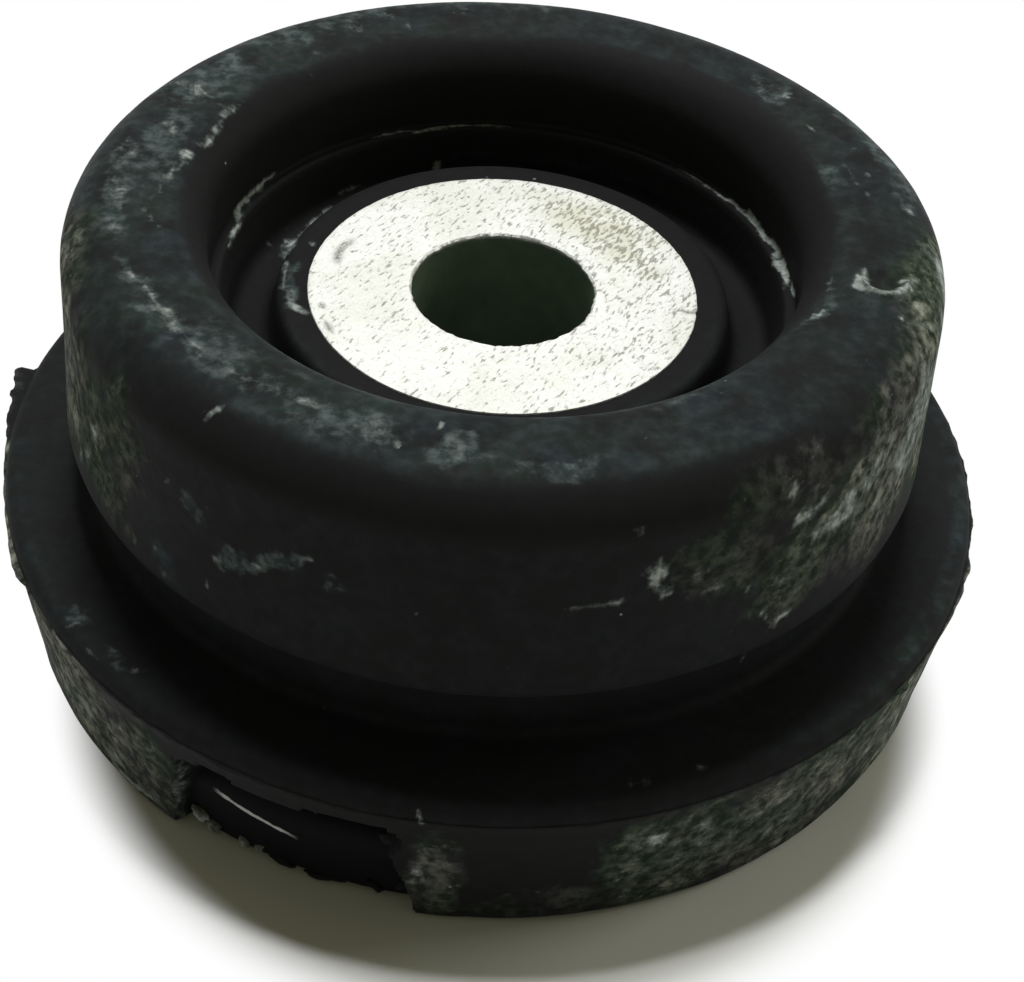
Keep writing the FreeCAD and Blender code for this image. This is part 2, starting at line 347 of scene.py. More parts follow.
# Flash: how far the thin fin round the flange stands out, at a few azimuths.
FLASH = [
    (-180, 0.05), (-98.6, 0.05), (-98, 1.75), (-96.8, 1.55), (-95, 1.35), (-92, 0.95), (-88, 0.6),
    (-84, 0.3), (-76, 0.12), (-69, 0.2), (-64, 0.48), (-61.5, 0.42), (-60.5, 0.1), (-40, 0.05),
    (30, 0.05), (52.8, 0.06), (53.6, 0.55), (54.8, 0.42), (55.6, 0.06), (66, 0.1), (76, 0.3),
    (79, 0.05), (84, 0.22), (95, 0.1), (180, 0.05),
]
# How far the flash climbs for each millimetre that it stands out.
FLASH_CLIMB = 0.28


def grow_flash(rubber):
    """Ragged moulding flash on the fin's edge."""
    azimuths, reach = zip(*FLASH)
    out = np.interp(rubber.azimuth, azimuths, reach)
    ragged = np.clip(0.5 + 0.9 * rubber.noise(1.3, 3, 5.0), 0.05, 1.6)
    edge = rubber.on("fin_edge") + rubber.on("fin") * (rubber.radius > RUBBER_RADIUS + 0.01)
    rubber.radius += edge * (out * (0.8 + 0.25 * ragged) + 0.08 * ragged)
    rubber.height += edge * (out * FLASH_CLIMB + 0.05 * ragged)


# Nub on the rim's right: where it is, its hollow's radius and depth, and its lip's radius and height.
NUB_AZIMUTH, NUB_RADIUS = 78.0, 28.2
HOLLOW_RADIUS, HOLLOW_DEPTH = 1.55, 0.3
LIP_RADIUS, LIP_HEIGHT = 1.75, 0.34


def raise_nub(rubber):
    """The moulding nub on the rim's right: a shallow round hollow with a raised lip on one side. Returns
    where the lip gets a painted highlight.
    """
    turn = np.radians(rubber.azimuth - NUB_AZIMUTH) * NUB_RADIUS
    reach = rubber.radius - NUB_RADIUS
    gap = np.hypot(turn, reach)
    side = smooth(-turn + 0.15 * reach, -0.9, 0.6)
    hollow = -HOLLOW_DEPTH * smooth(HOLLOW_RADIUS - gap, 0.0, 0.7)
    lip = LIP_HEIGHT * np.exp(-((gap - LIP_RADIUS) / 0.3) ** 2) * side
    rubber.lift((hollow + lip) * rubber.on("rim"))
    # where the lip gets a painted highlight
    width = 0.34 + 0.32 * smooth(-reach, 0.0, 1.4)
    return np.exp(-((gap - 1.72) / width) ** 2) * side * rubber.on("rim")


# Scar on the rim's left back: where it is, the radius that its length is measured at, its half length and
# half width, its ridge and its dent.
SCAR_AZIMUTH, SCAR_RADIUS, SCAR_ARC = -114.5, 29.2, 28.5
SCAR_HALF_LENGTH, SCAR_HALF_WIDTH = 1.25, 1.9
SCAR_RIDGE, SCAR_DENT = 0.22, 0.16


def cut_scar(rubber):
    """The crescent scar on the rim's left back: a flap's edge lifted over a shallow dent. Returns the
    ridge, where a highlight is painted.
    """
    turn = np.radians(rubber.azimuth - SCAR_AZIMUTH) * SCAR_ARC
    gap = np.hypot(turn / SCAR_HALF_LENGTH, (rubber.radius - SCAR_RADIUS) / SCAR_HALF_WIDTH)
    side = smooth(-turn, -0.9, 0.5)
    ridge = np.exp(-((gap - 1.0) / 0.13) ** 2) * side
    dent = smooth(1.0 - gap, 0.0, 0.5)
    rubber.lift((SCAR_RIDGE * ridge - SCAR_DENT * dent) * rubber.on("rim"))
    # the ridge, where a highlight is painted
    return ridge * rubber.on("rim")


Mark = namedtuple(
    "Mark", "finish azimuth radius height half_length half_width amount tilt", defaults=[0.0])
# the radius that marks on the tapered neck are placed at
NECK = NECK_RADIUS - 0.3


def on_level(finish, height, *places):
    """Marks on a level face: azimuth, radius, half length, half width, amount and any tilt."""
    return [Mark(finish, azimuth, radius, height, *rest) for azimuth, radius, *rest in places]


def on_wall(finish, radius, *places):
    """Marks on a wall: azimuth, height, half length, half width, amount and any tilt."""
    return [Mark(finish, azimuth, radius, height, *rest) for azimuth, height, *rest in places]


# What the part has picked up in use, with painted sheen and highlights where light catches its rims and
# edges: soft ovals on the surface, each where a mark is seen.
MARKS = []
# painted highlights along the bowl's ledge edge, with some chalky wear
MARKS += on_level("chalk", LEDGE_HEIGHT,
    (132, 22.1, 7, 0.26, 0.85), (116, 22.15, 7, 0.5, 1.25), (103, 22.15, 4.6, 0.72, 1.45),
    (-152, 21.9, 3, 0.26, 0.9), (-163, 21.95, 5, 0.28, 1), (-174, 21.95, 3, 0.24, 0.8),
    (-101, 22, 1.8, 0.42, 1),
)
MARKS += [
    Mark("chalk", 93.5, 22.4, LEDGE_HEIGHT + 0.3, 1.6, 0.28, 1),
    Mark("chalk", -117.5, BOWL_RADIUS, LEDGE_HEIGHT + 0.5, 2, 0.42, 1.05, 0.15),
    Mark("chalk", -112, BOWL_RADIUS, LEDGE_HEIGHT + 0.4, 2.2, 0.5, 1.05, 0.1),
    Mark("chalk", -106, BOWL_RADIUS, LEDGE_HEIGHT + 0.15, 2, 0.5, 1.05, 0.05),
    Mark("chalk", -96.8, 21.6, LEDGE_HEIGHT - 0.5, 1.1, 0.4, 0.85),
    Mark("haze", -108, 22.3, LEDGE_HEIGHT, 6, 0.8, 0.5),
]
# pale marks down in the groove
MARKS += on_level("chalk", GROOVE_FLOOR,
    (-129.5, 20, 3.2, 0.55, 0.85, 0.12), (-120.5, 19.3, 3, 0.75, 0.95, 0.12),
    (-112.5, 18.6, 2.4, 0.7, 0.95, 0.12),
)
MARKS += [
    Mark("chalk", -162, 21.1, 27.3, 0.8, 0.8, 1, 0.5),
    Mark("chalk", -139, 20.95, GROOVE_FLOOR + 0.7, 2.6, 0.35, 0.7),
    Mark("chalk", -112.8, 20.6, GROOVE_FLOOR + 0.2, 0.3, 0.8, 0.7),
    Mark("chalk", -120.3, 20.85, GROOVE_FLOOR + 0.45, 0.4, 0.3, 0.6),
    # a painted highlight line along the groove's far wall
    Mark("film", 168, 21.2, 27.6, 14, 0.3, 0.6),
    Mark("film", -176, 21.2, 27.7, 5, 0.28, 0.5),
    Mark("haze", -119, 19.2, GROOVE_FLOOR, 6.5, 1, 0.7, 0.1),
]
# smear across the collar
MARKS += on_level("chalk", COLLAR_TOP,
    (-74.8, 15.8, 1.7, 0.75, 1.1, 0.25), (-81.5, 16.4, 2.2, 0.65, 0.8, 0.1), (-90, 16.95, 3.2, 0.45, 0.9),
    (-101, 17.2, 2.6, 0.4, 0.8), (-105.5, 15.85, 0.6, 0.45, 0.8),
)
MARKS += on_level("film", COLLAR_TOP,
    (-45, 16.8, 9, 0.7, 0.3), (50, 16.8, 12, 0.7, 0.3),
)
MARKS += [
    Mark("haze", -86, 16.4, COLLAR_TOP, 4.6, 0.9, 0.75, 0.05),
]
# wear and a painted highlight along the ridge of the rim's left front
MARKS += on_level("chalk", RIM_TOP,
    (-65.5, 28.5, 2.4, 0.45, 0.75, 0.1), (-58, 28.25, 4.6, 0.5, 0.88, 0.06),
    (-48.5, 27.95, 4.8, 0.48, 0.72, 0.03), (-37, 27.9, 4.4, 0.5, 0.55), (-27, 27.4, 1.2, 0.8, 0.72),
    (-31, 28.6, 2.4, 0.9, 0.42), (-15, 28.2, 3.4, 1.6, 0.5), (-10.5, 28.6, 0.35, 0.8, 0.8),
    (-7.8, 26.1, 0.4, 0.8, 0.9), (-4, 28.8, 1.8, 2.3, 0.46), (12, 29.2, 1.8, 1.3, 0.42),
    (22.5, 27.6, 0.4, 0.7, 0.6), (11, 25.5, 0.5, 0.7, 0.45), (36, 25.6, 1, 0.8, 0.45, 0.3),
)
# haze with painted sheen over the rim's top at the front
MARKS += on_level("haze", RIM_TOP,
    (-62, 28.6, 8, 1.2, 0.62), (-42, 27.6, 9, 2, 0.62), (-20, 28.2, 8, 2.8, 0.62),
    (-4, 28.8, 3, 2.8, 0.85), (10, 29.4, 5, 1.8, 0.6), (-42, 25.6, 9, 1.4, 0.4),
    (32, 24.2, 4, 1.2, 0.5, 0.3),
)
# scuffs on the rim's left back
MARKS += on_level("chalk", RIM_TOP,
    (-116.5, 24.9, 1.8, 0.5, 0.6), (-112.5, 24.6, 2.4, 0.75, 0.75, 0.05), (-108.8, 24.5, 1.6, 0.65, 0.7),
    (-105, 24.3, 1.8, 0.7, 0.8), (-98.6, 24.9, 1.2, 1.1, 0.92, -0.1), (-95, 24.9, 1.5, 0.6, 0.75, -0.2),
    (-91, 25.7, 2, 0.7, 0.8, -0.35), (-86.5, 25.8, 1, 0.4, 0.65), (-84, 26.3, 0.9, 0.4, 0.6),
    (-78, 26.2, 2.2, 0.42, 0.68, 0.45), (-81, 26.8, 0.8, 0.4, 0.6, 0.3),
    (-103.5, 27.2, 2.8, 0.8, 0.7, 0.45), (-96, 29.4, 2.8, 1, 0.55, 0.3), (-86, 29, 4, 0.8, 0.66, 0.1),
    (-78, 29.1, 2.6, 0.8, 0.5), (-117.5, 28.6, 0.5, 2.4, 0.8, 0.2), (-115.6, 28.8, 1.3, 1.3, 0.52, 0.2),
    (-124, 28.6, 3, 1.6, 0.44, 0.8), (-116, 26, 0.35, 1.4, 0.5, -0.3), (-139.5, 26, 0.7, 1.2, 0.55, 0.3),
    (-150, 28.2, 0.8, 1.4, 0.6), (-156, 28.3, 1, 1.2, 0.6, 0.2), (-160, 26.2, 0.6, 1.5, 0.62),
    (-168.5, 28.6, 0.3, 0.9, 0.6),
)
# haze with painted sheen on the rim's left back
MARKS += on_level("haze", RIM_TOP,
    (-99, 27.2, 9, 2.8, 0.68), (-86, 29.2, 8, 1.8, 0.75), (-120, 28.8, 7, 3.2, 0.65),
    (-146, 30, 12, 3, 0.55), (-172, 30.6, 10, 2.4, 0.45),
)
MARKS += [
    Mark("chalk", -135, 23.9, RIM_TOP - 0.6, 1.6, 0.5, 0.5),
]
# scuffs on the rim's right
MARKS += on_level("chalk", RIM_TOP,
    (121, 27.35, 1.6, 0.35, 0.8), (130.5, 28.4, 0.6, 0.7, 0.9), (134, 27.6, 2, 1.2, 0.45),
    (113, 28.9, 0.5, 0.4, 0.6), (100, 28.1, 0.6, 0.45, 0.65), (106, 28.4, 0.45, 0.4, 0.6),
    (103, 27.1, 6, 0.25, 0.5, -0.05), (65, 24.5, 1.2, 0.6, 0.95, -0.2), (74.5, 24.5, 1.6, 0.6, 0.6),
    (95.3, 30.8, 0.8, 0.6, 0.7), (79.5, 31.6, 0.9, 0.4, 0.55), (70.5, 30.4, 0.5, 0.5, 1.1),
    # the marks at the nub, at azimuths 75.9 to 78.3, paint the highlight on its lip
    (75.9, 27, 1.15, 1, 1.8), (78.3, 26.6, 1.3, 0.6, 1.7), (77.9, 29.8, 1, 0.6, 1.4, 0.3),
    (58.5, 29.8, 0.5, 0.4, 0.4),
)
# haze with painted sheen on the rim's right
MARKS += on_level("haze", RIM_TOP,
    (106, 26, 2.6, 1.6, 0.55), (134, 28, 4, 2.2, 0.55), (112, 31.4, 14, 1.8, 0.7),
    (66, 24.6, 3, 1.3, 0.7),
)
MARKS += [
    Mark("dust", 66, 32.4, RIM_TOP - 1.6, 12, 2.4, 0.9),
    Mark("dust", 84, 32.9, RIM_TOP - 2.4, 9, 3, 1.5),
]
# dust on the neck's right
MARKS += on_wall("dust", NECK,
    (78, 30, 11, 12, 1.9), (58, 29, 9, 9.5, 1.15), (42, 26.5, 6.5, 6.5, 0.8, 0.2),
    (46.5, 29.8, 4.4, 3, 1.5, 0.8), (55, 32.6, 4, 3.4, 1.45, 0.7), (29, 29.5, 6.5, 4.6, 0.62),
    (40, 34, 9, 3.6, 0.55),
)
MARKS += on_wall("chalk", NECK,
    (66, 30.5, 5, 6, 0.85, 0.5), (58, 33.5, 3.4, 2.6, 0.5, -0.8), (75, 31, 6.5, 5, 0.85, 0.7),
    (85, 33.5, 4.5, 4.5, 1.05, 0.5), (54.5, 30.4, 3.4, 2.4, 0.75, 0.8), (47.5, 29.4, 2.6, 2.6, 0.92, 0.8),
    (43.5, 28.2, 1.5, 1.6, 0.95, 0.5), (58.5, 26, 3, 3.2, 0.55, -0.6), (41.8, 31.2, 1.3, 1.3, 0.85, 0.4),
    (38, 34.2, 1, 1.1, 0.85, -0.5), (53.5, 34.2, 1.3, 1, 0.6, -0.5), (38.6, 25.6, 1.3, 1, 0.75, -0.3),
    (36.9, 23.4, 0.6, 1.2, 1, -0.4), (38.8, 22.5, 1.7, 0.7, 1, 0.15), (33.5, 26.9, 0.5, 0.5, 0.66),
    (33.2, 29, 0.3, 0.8, 0.6, -0.4), (20, 30.1, 1, 1.2, 0.95), (21, 28, 0.9, 1.3, 0.9),
    (25.8, 29.3, 1.6, 0.9, 0.55, 0.2), (27.6, 27.5, 1.4, 0.8, 0.66, 0.2), (16.5, 28.3, 0.5, 0.6, 0.95),
    (13, 28, 3.8, 0.3, 0.62, -0.02), (18.2, 34.2, 0.6, 0.8, 0.6), (4.3, 23.1, 0.25, 0.35, 0.6),
    (-6.5, 27.1, 0.25, 0.3, 0.7), (32.2, 22.6, 0.9, 0.6, 0.45, 0.1),
)
MARKS += [
    Mark("chalk", 38, SEAT_RADIUS, 16.9, 0.6, 0.5, 0.7),
]
# dust and scuffs on the neck's left
MARKS += on_wall("dust", NECK,
    (-76, 29, 11, 12, 1.5), (-62, 28.5, 8, 9.5, 0.9), (-51, 30.5, 6, 6, 0.7), (-54, 23.6, 6, 3.6, 0.75),
)
MARKS += on_wall("chalk", NECK,
    (-70, 28, 4, 8, 0.6), (-57.8, 27.6, 1.3, 1.4, 0.85, 0.4), (-62, 22.6, 2.6, 1.4, 0.66, 0.7),
    (-53, 24.6, 2, 1, 0.5, 0.5), (-51.5, 33.5, 1.8, 1.6, 0.45, 0.6), (-31.8, 26, 1.6, 1, 0.62),
    (-26.4, 26.8, 0.6, 0.5, 0.85), (-19.6, 29.5, 0.7, 0.4, 0.8, 0.4), (-33, 30.1, 0.9, 0.4, 0.5),
    (-40.2, 30.2, 0.35, 0.4, 0.7, 0.4), (-41, 21.6, 0.4, 0.4, 0.8), (-41.8, 23, 0.6, 0.5, 0.6),
    (-47, 22.3, 0.5, 0.6, 0.7, 0.6), (-34, 23.1, 0.35, 0.6, 0.8),
)
MARKS += on_wall("haze", NECK,
    (-35.5, 29.3, 1.9, 1.3, 0.55), (-27, 27, 5, 1.7, 0.8, 0.32), (-22, 28.6, 2.6, 1.3, 0.7, 0.4),
    (-16, 28, 2.2, 1.5, 0.45),
)
MARKS += [
    Mark("film", -40, NECK, 22, 1.2, 1.8, 1.2, -0.8),
    Mark("chalk", -34.5, 31.2, RIM_TOP, 0.5, 0.8, 1, 0.3),
]
# dust on the base
MARKS += on_wall("dust", BASE_RADIUS,
    (-72, 7, 16, 14, 1.7), (-52, 6.5, 11, 12, 1.3), (-38, 6, 6, 9, 0.85), (-2.5, 6, 2.8, 8, 0.78),
    (9, 2.5, 8, 3, 0.45), (24, 6.5, 9, 9.5, 0.85), (42, 6.5, 13, 11, 0.9), (70, 6.5, 20, 13, 1.45),
)
MARKS += on_wall("chalk", BASE_RADIUS,
    (-60, 5, 7, 5, 0.55, -0.1), (-50, 6, 4, 4, 0.55, 0.4), (-47, 7.3, 1, 1.2, 0.8, 0.8),
    (-41, 8.6, 0.8, 1.2, 0.7, 0.5), (-44.5, 3.6, 1.6, 1.5, 0.7, 0.8), (-38.5, 2.6, 2.4, 0.8, 0.6, 0.2),
    (-41.5, 1.5, 5.2, 0.6, 1.15, 0.12), (64, 7, 8, 8, 0.55), (24.4, 11.3, 0.9, 1.4, 0.8, -0.9),
    (26.6, 9.8, 1, 1.2, 0.7, -0.5), (29.5, 9.5, 0.5, 1, 0.5, -0.4), (21.6, 8.5, 1, 1.1, 1.05),
    (24, 5.8, 0.9, 1.4, 0.5, 0.3), (17.5, 4.6, 0.9, 1.2, 0.5), (18.2, 1.9, 0.9, 0.5, 0.8, -0.3),
    (27, 1.7, 0.7, 0.4, 0.6, -0.3), (44, 4.5, 1.6, 1.2, 0.55), (9.8, 4.1, 0.6, 0.6, 0.5),
    (6.5, 12, 0.4, 0.5, 0.5), (0.2, 5.6, 0.35, 0.5, 0.6), (-2.2, 9.8, 1.2, 1.1, 0.72, 0.3),
    (-4.3, 5.6, 0.45, 2.6, 0.65), (-0.2, 1.4, 0.8, 0.6, 0.55),
)
MARKS += [
    Mark("chalk", -3.6, BASE_RADIUS + 1, 13, 0.4, 0.9, 0.8),
]
# scuffs on the flange
MARKS += on_level("haze", FLANGE_TOP,
    (-52, 37.4, 2.4, 0.9, 0.6), (-44, 37, 3, 0.9, 0.8),
)
MARKS += on_level("chalk", FLANGE_TOP,
    (-51, 37.9, 0.6, 0.5, 0.9), (-46, 38.6, 1.8, 0.45, 0.6), (-41, 37, 1.4, 0.5, 0.6),
    (26, 37.1, 1.4, 0.3, 0.5), (19.4, 37.3, 2, 0.3, 0.5, 0.1), (10.4, 37.9, 0.5, 0.4, 0.8),
)

# The film and painted sheen on the rim's top at a few azimuths: how strong it is, and the radius where it
# starts.
RIM_FILM_SHEEN = [
    (-180, 0.55, 24.8), (-130, 0.7, 24.6), (-85, 0.8, 24.3), (-55, 0.75, 23.7), (-35, 0.75, 22.6),
    (0, 0.8, 22.6), (25, 0.62, 22.6), (45, 0.58, 22.7), (62, 0.5, 23.6), (80, 0.55, 24.2),
    (100, 0.55, 24.4), (120, 0.5, 25.2), (140, 0.5, 26), (180, 0.55, 24.8),
]
# How strong the other broad amounts are.
# the side amount is painted sheen down the rim's and the neck's sides
FAINT_FILM, BASE_FILM, SIDE_SHEEN = 0.12, 0.15, 0.5
BASE_DUST, NECK_DUST, FIN_DUST = 0.8, 0.9, 0.55
# painted highlights on the nub's lip and the scar's ridge, and a pale cut along the tear
NUB_HIGHLIGHT, SCAR_HIGHLIGHT, CUT_CHALK = 1.5, 0.7, 0.75
# the radius of the painted highlight round the flange's lip
LIP_HIGHLIGHT_RADIUS = 38.4
# Where the film and painted sheen are left off, in the nub's hollow: azimuth, radius, height, half length
# and half width.
CLEAN_NUB = (78.2, 28.0, RIM_TOP, 1.7, 1.4)


def film_and_sheen_amount(rubber, patchy):
    """The handled film with painted sheen on the rim's top, painted sheen down the sides, a painted
    highlight round the flange's lip, and a faint film elsewhere.
    """
    azimuth, radius, height = rubber.azimuth, rubber.radius, rubber.height
    around = np.abs(azimuth)
    azimuths, strengths, starts = zip(*RIM_FILM_SHEEN)
    # film with painted sheen on the rim's top, up to its outer edge at the front
    start = np.interp(azimuth, azimuths, starts) + 0.4 * patchy
    top = rubber.on("rim", "bowl") * smooth(height, RIM_TOP - 2.9, RIM_TOP - 0.5)
    top *= smooth(radius, start - 0.3, start + 0.7)
    outer = smooth(radius + 0.5 * patchy, 30.2, 31.4) * (1.0 - smooth(around, 38.0, 62.0))
    film = top * (1.0 - outer) * np.interp(azimuth, azimuths, strengths)
    film = np.maximum(film, FAINT_FILM * rubber.on("neck", "seat", "flange"))
    film = np.maximum(film, BASE_FILM * rubber.on("base") * smooth(around, 14.0, 34.0))
    # painted sheen down the rim's and the neck's sides, and a painted highlight round the flange's lip
    sides = rubber.on("rim", "neck") * smooth(height, 20.5, 30.0) * smooth(around, 42.0, 78.0)
    film = np.maximum(film, SIDE_SHEEN * sides)
    lip = np.exp(-((radius - LIP_HIGHLIGHT_RADIUS) / 0.4) ** 2)
    lip = lip * rubber.on("flange", "seat") * (height > FIN_TOP + 0.3)
    right = smooth(azimuth, 30.0, 62.0) * (1.0 - smooth(azimuth, 92.0, 110.0))
    left = smooth(-azimuth, 42.0, 60.0) * (1.0 - smooth(-azimuth, 66.0, 95.0))
    film += lip * (0.85 * right + 0.3 * left)
    film *= 1.0 + 0.5 * patchy
    return film * (1.0 - rubber.oval(*CLEAN_NUB))


def dust_amount(rubber):
    """Dust on the sides and the back: on the base, the neck and the flange's fin."""
    around, height = np.abs(rubber.azimuth), rubber.height
    # The back is cleaner, and cleaner still in patches.
    cleaner = (1.0 - 0.55 * smooth(around, 98.0, 135.0)) * (1.0 + 0.7 * rubber.noise(15.0, 3, 71.0))
    low = rubber.on("base") * (1.0 - 0.6 * smooth(height, 9.5, 12.2))
    dust = BASE_DUST * low * smooth(around, 36.0, 62.0)
    wall = rubber.on("neck", "rim") * (rubber.radius > BEARING_RADIUS)
    wall = wall * (1.0 - smooth(height, 31.5, 36.8))
    dust = np.maximum(dust, NECK_DUST * wall * smooth(around, 60.0, 90.0)) * cleaner
    fin = rubber.on("fin", "fin_edge") * smooth(around, 50.0, 80.0)
    return np.maximum(dust, FIN_DUST * fin)


def settle_dirt(rubber, nub, scar, torn, torn_edge):
    """Amounts of each finish on the rubber: film with painted sheen, haze with painted sheen, dust, chalk
    with painted highlights, and torn.
    """
    # Noise makes the marks ragged, but not close to the nub.
    turn = np.radians(rubber.azimuth - NUB_AZIMUTH) * NUB_RADIUS
    steady = smooth(np.hypot(turn, rubber.radius - NUB_RADIUS), 3.0, 6.0)
    rubber.wander_along, rubber.wander_climb = (
        (0.8 * rubber.noise(2.2, 3, shift) + 0.9 * rubber.noise(5.0, 2, shift + 6.0)) * steady
        for shift in (41.0, 53.0)
    )
    amounts = {
        "film": film_and_sheen_amount(rubber, rubber.noise(6.0, 4, 31.0)), "haze": np.zeros(rubber.shape),
        "dust": dust_amount(rubber), "chalk": NUB_HIGHLIGHT * nub + SCAR_HIGHLIGHT * scar,
    }
    below_fin = rubber.on("base", "foot", "fin", "fin_edge")
    for mark in MARKS:
        oval = rubber.oval(*mark[1:6], mark.tilt) * mark.amount
        if mark.finish == "dust" and mark.radius == BASE_RADIUS:
            oval *= below_fin
        amounts[mark.finish] = np.maximum(amounts[mark.finish], oval)
    # Torn rubber is bare, but the cut is pale along the tear's left.
    whole = (1.0 - torn) ** 3
    amounts = {finish: amount * whole for finish, amount in amounts.items()}
    cut = torn_edge * smooth(-rubber.across(), 17.5, 21.0) * (1.0 - smooth(torn, 0.15, 0.5))
    amounts["chalk"] = amounts["chalk"] + CUT_CHALK * cut
    amounts["torn"] = torn
    rubber.finishes = amounts


# How high the skin's waves are: broad ones everywhere, and finer ones on the base and on the rest.
BROAD_WAVES, BASE_WAVES, SKIN_WAVES = 0.09, 0.05, 0.02


def make_rubber():
    """The rubber moulding, torn and dirty as it is found, with painted sheen and highlights."""
    rubber = Turned(RUBBER_SECTION, column_azimuths(COLUMN_SPACING, FINE_COLUMNS))
    rubber.lift(BROAD_WAVES * rubber.noise(16.0, 2) * (1.0 - rubber.on("hidden")))
    rubber.lift(BASE_WAVES * rubber.noise(2.4, 4, 3.0) * rubber.on("base"))
    rubber.lift(SKIN_WAVES * rubber.noise(3.0, 4, 9.0) * rubber.on("neck", "rim", "flange"))
    nub = raise_nub(rubber)
    scar = cut_scar(rubber)
    grow_flash(rubber)
    torn, torn_edge = tear_open(rubber)
    settle_dirt(rubber, nub, scar, torn, torn_edge)
    rubber.height = np.maximum(rubber.height, FOOT)
    return rubber.piece("moulded_rubber", sharp_angle=50.0)


# Small forms on the hub's face: azimuth, radius, half length and half width of each.
DENT_OUTSIDE, DENT_INSIDE = (-104.5, 13.1, 2.3, 0.9), (-104.5, 12.6, 2.0, 0.9)
NOTCH = (85.4, 14.6, 0.3, 1.2)
NICKS = [(-74.0, 14.2, 0.6, 0.35), (-63.0, 14.3, 1.2, 0.3)]
STAIN = (136.0, 11.8, 9.0, 3.8)
# How deep they are, with the face's grain and the chips in the bore's edge.
DENT_DEPTH, NOTCH_DEPTH, NICK_DEPTH = 0.06, 0.1, 0.08
GRAIN_DEPTH, CHIP_DEPTH = 0.028, 0.13


def make_hub():
    """The cast hub with a granular face, a chipped bore edge, nicks and a stamped dent."""
    hub = Turned(HUB_SECTION, column_azimuths(HUB_COLUMN_SPACING))
    face = hub.on("hub_face")

    def spot(azimuth, radius, half_length, half_width):
        return hub.oval(azimuth, radius, HUB_FACE, half_length, half_width)

    grain = GRAIN_DEPTH * hub.noise(0.9, 3, 2.0)
    crescent = np.maximum(spot(*DENT_OUTSIDE) - spot(*DENT_INSIDE), 0.0)
    notch, nicks, stain = spot(*NOTCH), sum(spot(*nick) for nick in NICKS), spot(*STAIN)
    hub.lift(face * (grain - DENT_DEPTH * crescent - NOTCH_DEPTH * notch - NICK_DEPTH * nicks))
    chipped = hub.on("bore") * smooth(hub.height, HUB_FACE - 0.9, HUB_FACE - 0.2)
    edge = chipped + face * (1.0 - smooth(hub.radius, BORE_RADIUS + 0.2, BORE_RADIUS + 0.5))
    hub.radius += edge * CHIP_DEPTH * hub.noise(0.8, 3, 17.0)
    hub.height = np.minimum(hub.height, HUB_FACE)
    hub.finishes = {
        "grime": face * (crescent * 0.9 + notch * 0.9 + nicks * 0.85),
        "stain": face * stain,
        # the bore's wall below its top edge, painted dark as shade in the hole
        "bore": hub.on("bore") * smooth(HUB_FACE - 0.1 - hub.height, 0.0, 0.4),
    }
    return hub.piece("cast_hub", sharp_angle=40.0)


# Shreds of rubber left in the tear: azimuth, radius, height, half length, half thickness, tilt.
SHREDS = [
    (-31.9, 36.9, 1.9, 0.8, 0.32, -25), (-30.1, 36.8, 1.3, 0.55, 0.28, -10),
    (-25.9, 36.7, 1.2, 0.5, 0.2, -30), (-23.8, 36.6, 1.3, 0.4, 0.16, 10),
    (-20.6, 36.5, 0.8, 1.1, 0.2, -4), (-15.6, 36.4, 0.6, 1.5, 0.2, 5),
    (-9.4, 36.6, 1.3, 0.8, 0.3, -35), (-6.8, 36.7, 7.3, 1.3, 0.75, 15),
    (-6, 36.6, 1.9, 0.7, 0.4, 40),
]
SHRED_RINGS = 9
SHRED_SIDES = 14
SHRED_HALF_DEPTH = 0.45
# Shreds at the left of this azimuth are chalky.
CHALKY_SHREDS = -22.0


def make_shreds():
    """Small crumbs and shreds of rubber that cling to the ring and the tear's edge."""
    points, faces, chalk = [], [], []
    for number, (azimuth, radius, height, half_length, half_thickness, tilt) in enumerate(SHREDS):
        turn = math.radians(azimuth)
        place = Matrix.Translation((radius * math.sin(turn), -radius * math.cos(turn), height))
        place = place @ Matrix.Rotation(turn, 4, "Z") @ Matrix.Rotation(math.radians(-tilt), 4, "Y")
        start = len(points)
        for ring in range(SHRED_RINGS + 1):
            latitude = math.pi * ring / SHRED_RINGS
            wide = math.sin(latitude)
            sides = 1 if ring in (0, SHRED_RINGS) else SHRED_SIDES
            for side in range(sides):
                longitude = 2.0 * math.pi * side / SHRED_SIDES
                unit = Vector((math.cos(latitude), wide * math.cos(longitude),
                               wide * math.sin(longitude)))
                lump = 1.0 + 0.45 * noise.fractal(unit * 1.7 + Vector((number * 7.3, 0, 0)), 0.8, 2.0, 3)
                size = (half_length, SHRED_HALF_DEPTH, half_thickness)
                local = Vector([part * half for part, half in zip(unit, size)]) * lump
                points.append(tuple(place @ local * MM))
                chalk.append(1.0 if azimuth < CHALKY_SHREDS else 0.15)
        faces += ball_faces(start, SHRED_RINGS, SHRED_SIDES)
    made = bpy.data.meshes.new("rubber_shreds")
    made.from_pydata(points, [], faces)
    for finish, amounts in (("chalk", chalk), ("torn", [0.6] * len(points))):
        made.attributes.new(finish, "FLOAT", "POINT").data.foreach_set("value", amounts)
    made.shade_smooth()
    return bpy.data.objects.new("rubber_shreds", made)


def ball_faces(start, rings, sides):
    """Faces of a ball made of a pole, rings of points and a pole, its first point's number given."""
    last = 1 + (rings - 1) * sides

    def number(ring, side):
        return start + min(max(1 + (ring - 1) * sides + side % sides, 0), last)

    faces = []
    for ring in range(rings):
        for side in range(sides):
            corners = [number(ring, side), number(ring + 1, side), number(ring + 1, side + 1),
                       number(ring, side + 1)]
            faces.append(tuple(dict.fromkeys(corners)))
    return faces


# Noise along the surface: the radius that it is laid out at, and how far it is drawn out.
FLOW_RADIUS = 30.0
FLOW_SQUEEZE = 0.7


